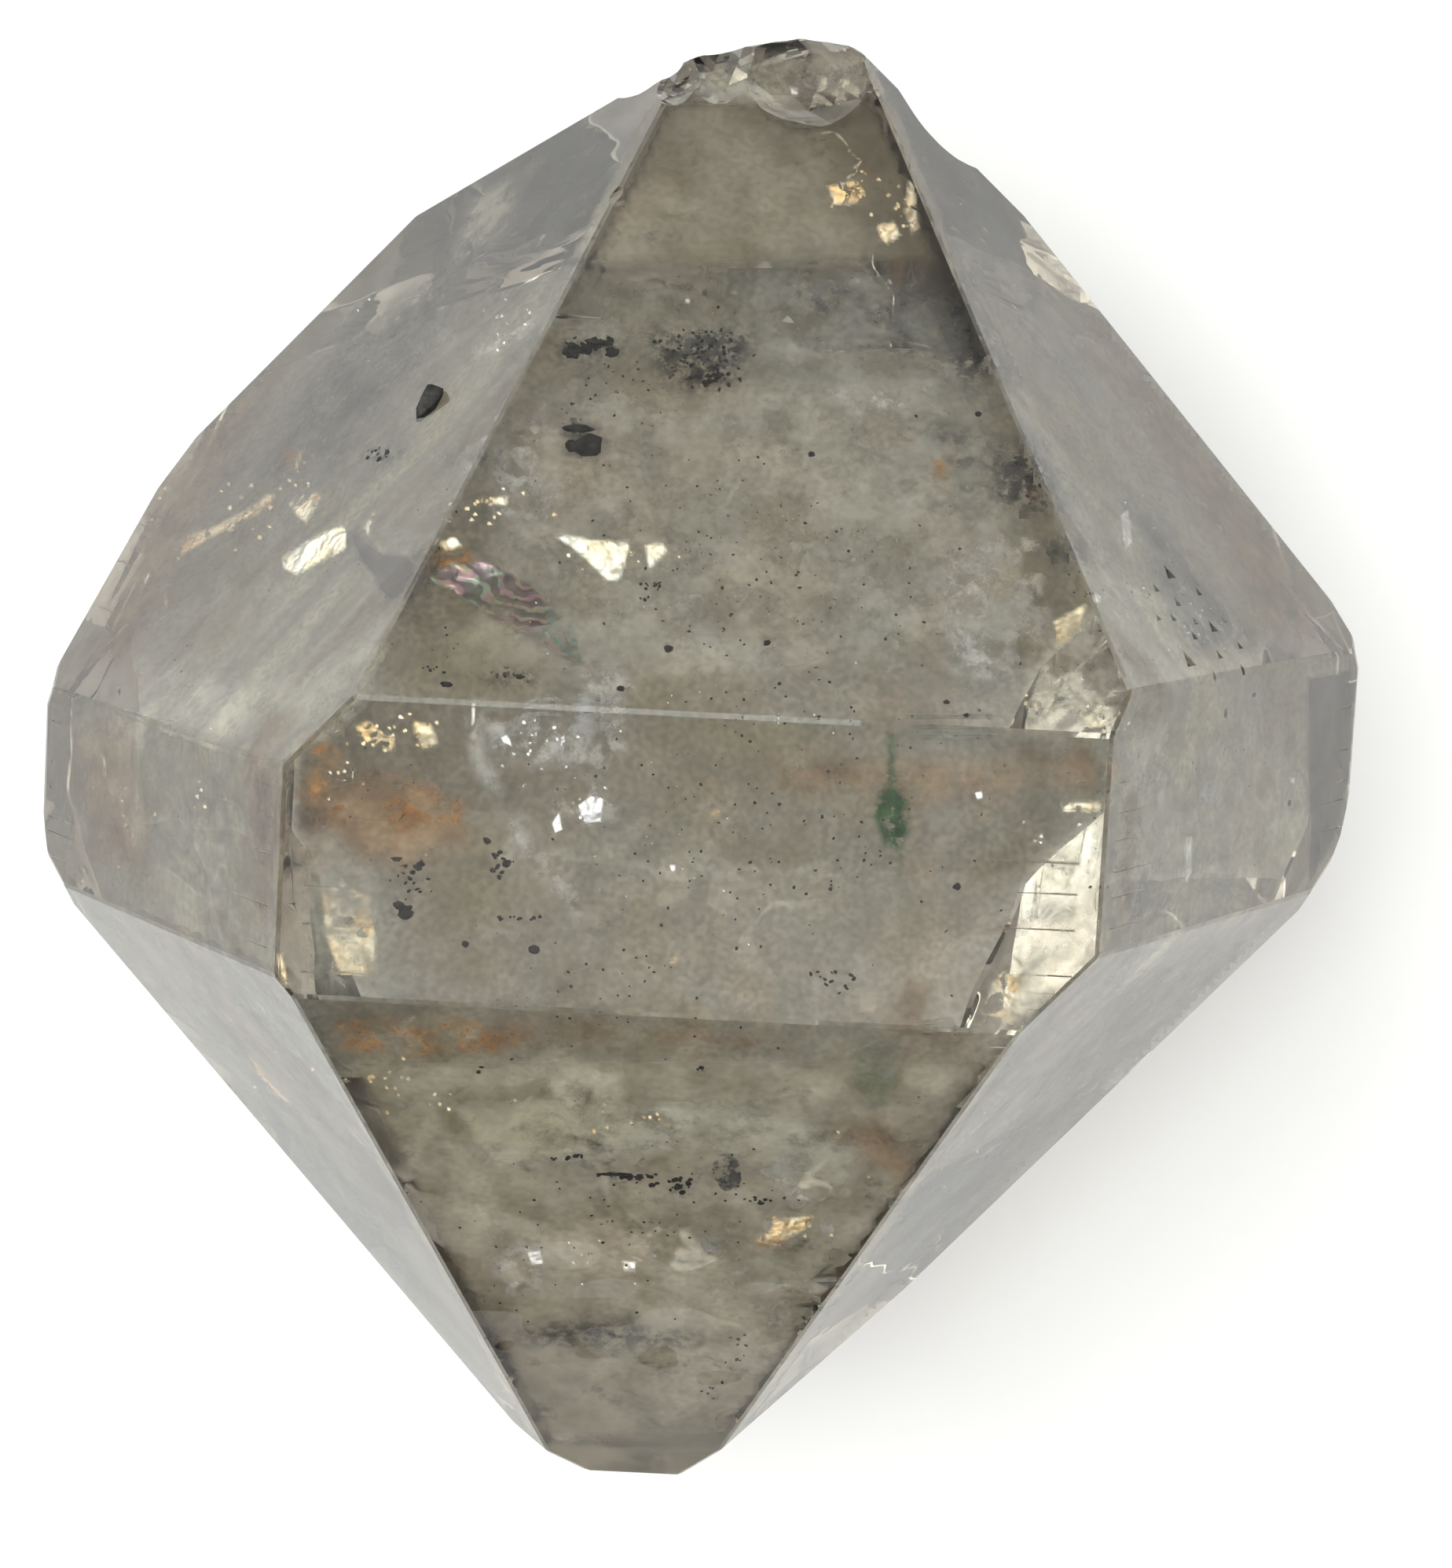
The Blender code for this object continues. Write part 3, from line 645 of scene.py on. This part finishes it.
def rainbow_material():
    """A thin crack with rainbow colours and fine ribs."""
    make = Materials("rainbow")
    make.set(Metallic=0.6, Roughness=0.3)
    bands = make.ramp(
        make.noise(0.9, 3.0, 0.5, 1.5),
        (0.34, (0.42, 0.36, 0.42)), (0.44, (0.30, 0.62, 0.58)), (0.50, (0.78, 0.66, 0.50)),
        (0.56, (0.74, 0.42, 0.60)), (0.64, (0.50, 0.66, 0.52)), (0.74, (0.40, 0.38, 0.40)),
    )
    x, y, _ = make.split(make.millimetres)
    along_x = make.math("MULTIPLY", x, ACROSS_RIBS[0])
    along_y = make.math("MULTIPLY", y, ACROSS_RIBS[1])
    across = make.math("ADD", along_x, along_y)
    across = make.math("ADD", across, make.noise(0.9, 3.0))
    ribs = make.math("SINE", make.math("MULTIPLY", across, math.tau / RIB_SPACING), 0)
    make.join(make.mix(make.ramp(ribs, (0.2, 0.75), (0.6, 0.0)), bands, (0.20, 0.19, 0.20)), "Base Color")
    patches = make.ramp(make.noise(0.5, 3.0), (0.36, 0.3), (0.50, 0.95))
    make.join(make.math("MULTIPLY", make.fade(), patches), "Alpha")
    make.bump(ribs, 0.01 * MM)
    return make.material


def floor_material():
    make = Materials("floor")
    make.join(make.ramp(make.noise(40.0), (0.4, 0.88), (0.6, 0.9)), "Base Color")
    make.set(Roughness=0.9)
    return make.material


def make_floor():
    bm = bmesh.new()
    bmesh.ops.create_grid(bm, x_segments=1, y_segments=1, size=FLOOR_REACH)
    mesh = bpy.data.meshes.new("floor")
    bm.to_mesh(mesh)
    bm.free()
    floor = bpy.data.objects.new("floor", mesh)
    floor.location.z = -FLOOR_GAP
    floor.data.materials.append(floor_material())
    bpy.context.scene.collection.objects.link(floor)


def make_key():
    data = bpy.data.lights.new("key", "AREA")
    data.size = KEY_SIZE
    data.energy = KEY_WATTS
    data.color = KEY_COLOUR
    light = bpy.data.objects.new("key", data)
    light.location = KEY_PLACE
    light.rotation_euler = (-KEY_PLACE).to_track_quat("-Z", "Y").to_euler()
    bpy.context.scene.collection.objects.link(light)


def make_dome():
    world = bpy.data.worlds.new("studio")
    world.use_nodes = True
    nodes = world.node_tree.nodes
    links = world.node_tree.links
    direction = nodes.new("ShaderNodeTexCoord")
    parts = nodes.new("ShaderNodeSeparateXYZ")
    dome = nodes.new("ShaderNodeValToRGB")
    dome.color_ramp.elements[0].position = 0.0
    dome.color_ramp.elements[0].color = (*HORIZON_LIGHT, 1)
    dome.color_ramp.elements[1].position = TOP_LIGHT_FROM
    dome.color_ramp.elements[1].color = (*TOP_LIGHT, 1)
    links.new(direction.outputs["Generated"], parts.inputs["Vector"])
    links.new(parts.outputs["Z"], dome.inputs["Fac"])
    links.new(dome.outputs["Color"], nodes["Background"].inputs["Color"])
    nodes["Background"].inputs["Strength"].default_value = 1.0
    bpy.context.scene.world = world


class Surface:
    """The crystal's surface, to place things under it where the photograph shows them."""

    def __init__(self, node):
        points = [node.matrix_world @ vert.co for vert in node.data.vertices]
        self.tree = BVHTree.FromPolygons(points, [face.vertices for face in node.data.polygons])
        self.eye = camera_location()
        self.turn = camera_rotation()

    def look(self, x, y):
        """Where the view through this pixel enters the crystal and its way on, or None outside it."""
        across = (x - FRAME_WIDTH / 2) / FOCAL_PIXELS
        up = (FRAME_HEIGHT / 2 - y) / FOCAL_PIXELS
        ray = (self.turn @ Vector((across, up, -1))).normalized()
        hit, normal, _, _ = self.tree.ray_cast(self.eye, ray)
        if hit is None:
            return None
        facing = -ray.dot(normal)
        slowed = 1 / QUARTZ_IOR
        bent = slowed * ray + (slowed * facing - math.sqrt(1 - slowed ** 2 * (1 - facing ** 2))) * normal
        return hit, bent

    def place(self, x, y, depth):
        """The point at this depth that shows at this pixel, or None outside the crystal."""
        seen = self.look(x, y)
        if seen is None:
            return None
        hit, bent = seen
        return hit + bent * depth * MM


def add_piece(name, mesh, material):
    mesh.materials.append(material)
    for face in mesh.polygons:
        face.use_smooth = True
    piece = bpy.data.objects.new(name, mesh)
    bpy.context.scene.collection.objects.link(piece)
    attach(piece, "root")


def ball(detail):
    """The corners and faces of a ball of radius 1."""
    bm = bmesh.new()
    bmesh.ops.create_icosphere(bm, subdivisions=detail, radius=1)
    corners = [vert.co.copy() for vert in bm.verts]
    faces = [[vert.index for vert in face.verts] for face in bm.faces]
    bm.free()
    return corners, faces


class Lumps:
    """Lumpy grains that are all one mesh."""

    def __init__(self):
        self.points = []
        self.faces = []
        self.small_ball = ball(1)
        self.large_ball = ball(2)

    def add(self, place, radii, turn, shift, large=False):
        """Adds a grain of three radii, turned about the vertical."""
        corners, faces = self.large_ball if large else self.small_ball
        spin = Matrix.Rotation(turn, 3, "Z")
        first = len(self.points)
        for corner in corners:
            swell = 1 + LUMPINESS * noise.noise(corner * LUMP_RATE + Vector((shift, 0, 0)))
            grown = Vector((corner.x * radii[0], corner.y * radii[1], corner.z * radii[2])) * swell
            self.points.append(place + spin @ grown)
        self.faces += [[first + index for index in face] for face in faces]

    def mesh(self, name):
        mesh = bpy.data.meshes.new(name)
        mesh.from_pydata(self.points, [], self.faces)
        return mesh


def make_specks(surface):
    """All the black grains and flakes."""
    chance = random.Random(SPECK_SEED)
    lumps = Lumps()
    for (x, y), (half_width, half_height), count, sizes, depths in SPECK_GROUPS:
        for _ in range(count):
            across = x + half_width * chance.gauss(0, 0.5)
            down = y + half_height * chance.gauss(0, 0.5)
            place = surface.place(across, down, chance.uniform(*depths))
            if place is None:
                continue
            radius = chance.uniform(*sizes) * PIXEL / 2
            radii = (radius, radius * chance.uniform(0.5, 1.0), radius * chance.uniform(0.3, 0.7))
            turn = chance.uniform(0, math.pi)
            shift = chance.uniform(0, 100)
            lumps.add(place, radii, turn, shift, radius > LARGE_GRAIN)
    for (x, y), (half_width, half_height), turn, depth in FLAKES:
        place = surface.place(x, y, depth)
        radii = (half_width * PIXEL, half_height * PIXEL, FLAKE_THICKNESS * half_width * PIXEL)
        lumps.add(place, radii, math.radians(turn), x, True)
    add_piece("specks", lumps.mesh("specks"), bitumen_material())


def inside(x, y, outline):
    """True if the point lies in the outline."""
    within = False
    for (ax, ay), (bx, by) in zip(outline, outline[1:] + outline[:1]):
        if (ay > y) != (by > y) and x < (bx - ax) * (y - ay) / (by - ay) + ax:
            within = not within
    return within


def rim_distance(x, y, outline):
    """How far the point lies from the outline's nearest side."""
    nearest = math.inf
    point = Vector((x, y))
    for a, b in zip(outline, outline[1:] + outline[:1]):
        side = Vector(b) - Vector(a)
        along = max(0.0, min(1.0, (point - Vector(a)).dot(side) / side.length_squared))
        nearest = min(nearest, (point - Vector(a) - side * along).length)
    return nearest


def add_sheet(bm, fade_layer, surface, outline, depth, lean, cell, soft, ripple, facing):
    """Adds a thin wavy sheet with a soft rim, which follows the surface or else faces the view."""
    xs = [corner[0] for corner in outline]
    ys = [corner[1] for corner in outline]
    middle = Vector((sum(xs) / len(xs), sum(ys) / len(ys)))
    centre, axis = surface.look(*middle)
    heart = centre + axis * depth * MM
    grid = {}
    for i in range(int((max(xs) - min(xs)) / cell) + 2):
        for j in range(int((max(ys) - min(ys)) / cell) + 2):
            x = min(xs) + (i - 0.5) * cell
            y = min(ys) + (j - 0.5) * cell
            wave = noise.noise(Vector((x / SHEET_WAVE, y / SHEET_WAVE, middle.x)))
            step = (Vector((x, y)) - middle) * PIXEL / MM
            seen = surface.look(x, y)
            if seen is not None:
                hit, bent = seen
                base = (heart - hit).dot(axis) / bent.dot(axis) / MM if facing else depth
                level = base + lean[0] * step.x + lean[1] * step.y + ripple * wave
                vert = bm.verts.new(hit + bent * max(SHALLOWEST, level) * MM)
                within = inside(x, y, outline)
                vert[fade_layer] = min(1.0, rim_distance(x, y, outline) / soft) if within else 0.0
                grid[i, j] = (vert, within)
    for i, j in grid:
        corners = [grid.get(key) for key in ((i, j), (i + 1, j), (i + 1, j + 1), (i, j + 1))]
        if all(corners) and any(corner[1] for corner in corners):
            bm.faces.new([corner[0] for corner in corners])
    loose = [vert for vert, _ in grid.values() if not vert.link_faces]
    for vert in loose:
        bm.verts.remove(vert)


def wisps(surface, chance, count, sizes, depths):
    """Ragged outlines of small veils at random places inside the crystal."""
    made = []
    while len(made) < count:
        x = chance.uniform(0, FRAME_WIDTH)
        y = chance.uniform(0, FRAME_HEIGHT)
        reach = chance.uniform(*sizes)
        turn = chance.gauss(WISP_TURN, WISP_TURN_SPREAD)
        outline = []
        for step in range(WISP_CORNERS):
            angle = math.tau * step / WISP_CORNERS
            out = reach * chance.uniform(0.6, 1.1)
            corner = Matrix.Rotation(turn, 2) @ Vector((math.cos(angle), math.sin(angle) * WISP_FLATNESS))
            outline.append((x + out * corner.x, y + out * corner.y))
        if all(surface.look(*corner) for corner in outline):
            depth = chance.uniform(*depths)
            lean = (chance.uniform(-WISP_LEAN, WISP_LEAN), chance.uniform(-WISP_LEAN, WISP_LEAN))
            made.append((tuple(outline), depth, lean))
    return tuple(made)


def sparks(surface, chance, groups):
    """Outlines of the tiny bright flecks in these groups."""
    made = []
    for (x, y), (half_width, half_height), count, sizes in groups:
        for _ in range(count):
            a = x + half_width * chance.gauss(0, 0.5)
            b = y + half_height * chance.gauss(0, 0.5)
            outline = []
            for step in range(SPARK_CORNERS):
                angle = math.tau * step / SPARK_CORNERS
                out = chance.uniform(*sizes) / 2
                outline.append((a + out * math.cos(angle), b + out * math.sin(angle)))
            lean = (chance.gauss(-0.1, 0.1), chance.gauss(-0.1, 0.1))
            if all(surface.look(*corner) for corner in outline):
                made.append((tuple(outline), chance.uniform(0.1, 0.8), lean))
    return tuple(made)


def make_sheets(name, sheets, surface, material, cell=6, soft=14, ripple=0.1, facing=False):
    """One piece of many sheets. The cells of its mesh and its soft rim are in pixels."""
    bm = bmesh.new()
    fade_layer = bm.verts.layers.float.new("fade")
    for outline, depth, lean in sheets:
        add_sheet(bm, fade_layer, surface, outline, depth, lean, cell, soft, ripple, facing)
    mesh = bpy.data.meshes.new(name)
    bm.to_mesh(mesh)
    bm.free()
    add_piece(name, mesh, material)


def make_glints(name, sheets, surface, look, cell, soft, ripple):
    make_sheets(name, sheets, surface, glint_material(look), cell, soft, ripple, facing=True)


def dress_crystal():
    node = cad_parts["crystal"]
    node.data.materials.clear()
    node.data.materials.append(quartz_material())
    for face in node.data.polygons:
        face.use_smooth = False
    surface = Surface(node)
    chance = random.Random(SHEET_SEED)
    make_specks(surface)
    clouds = CLOUDS + wisps(surface, chance, 8, (25, 60), (0.6, 2.5))
    make_sheets("clouds", clouds, surface, film_material("cloud"), soft=30)
    veils = VEILS + wisps(surface, chance, 26, (20, 60), (0.4, 3.0))
    make_sheets("veils", veils, surface, film_material("veil"), soft=20, ripple=0.3)
    make_glints("bright_glints", BRIGHT_GLINTS, surface, "bright_glint", cell=4, soft=4, ripple=0.04)
    glints = GOLD_GLINTS + wisps(surface, chance, 14, (5, 14), (0.2, 0.8))
    make_glints("gold_glints", glints, surface, "gold_glint", cell=4, soft=5, ripple=0.06)
    gold_sparks = sparks(surface, chance, GOLD_SPARKS)
    make_glints("gold_sparks", gold_sparks, surface, "gold_spark", cell=2, soft=0.6, ripple=0.03)
    pale_sparks = sparks(surface, chance, PALE_SPARKS)
    make_glints("pale_sparks", pale_sparks, surface, "pale_glint", cell=1.5, soft=0.6, ripple=0.02)
    make_glints("pale_glints", PALE_GLINTS, surface, "pale_glint", cell=2, soft=2, ripple=0.03)
    make_sheets("rainbows", RAINBOWS, surface, rainbow_material(), cell=4, soft=6, facing=True)
    green = film_material("green_stain")
    make_sheets("green_stains", GREEN_STAINS, surface, green, cell=4, soft=10)
    tint = film_material("green_tint")
    make_sheets("green_tints", GREEN_TINTS, surface, tint, cell=5, soft=14)
    browns = BROWN_STAINS + wisps(surface, chance, 12, (25, 70), (0.5, 2.5))
    make_sheets("brown_stains", browns, surface, film_material("brown_stain"), soft=24)
    dark = film_material("dark_plate")
    make_sheets("dark_plates", DARK_PLATES, surface, dark, cell=4, soft=5)
    make_sheets("orange_stains", ORANGE_STAINS, surface, film_material("orange_stain"), cell=5)
    make_sheets("pale_bands", PALE_BANDS, surface, film_material("pale_band"), soft=20)
    for name, sheets, slot_name, soft in HAZES:
        haze = film_material(name + "_haze")
        make_sheets(name + "_hazes", sheets, surface, haze, cell=10, soft=soft, ripple=0.2)


def set_up_rendering():
    scene = bpy.context.scene
    scene.view_settings.view_transform = "Standard"
    scene.cycles.use_light_tree = False
    scene.cycles.adaptive_threshold = NOISE_THRESHOLD
    scene.cycles.max_bounces = LIGHT_BOUNCES
    scene.cycles.glossy_bounces = LIGHT_BOUNCES
    scene.cycles.transmission_bounces = LIGHT_BOUNCES
    scene.cycles.transparent_max_bounces = 8


make_camera()
make_floor()
make_dome()
make_key()
dress_crystal()
set_up_rendering()
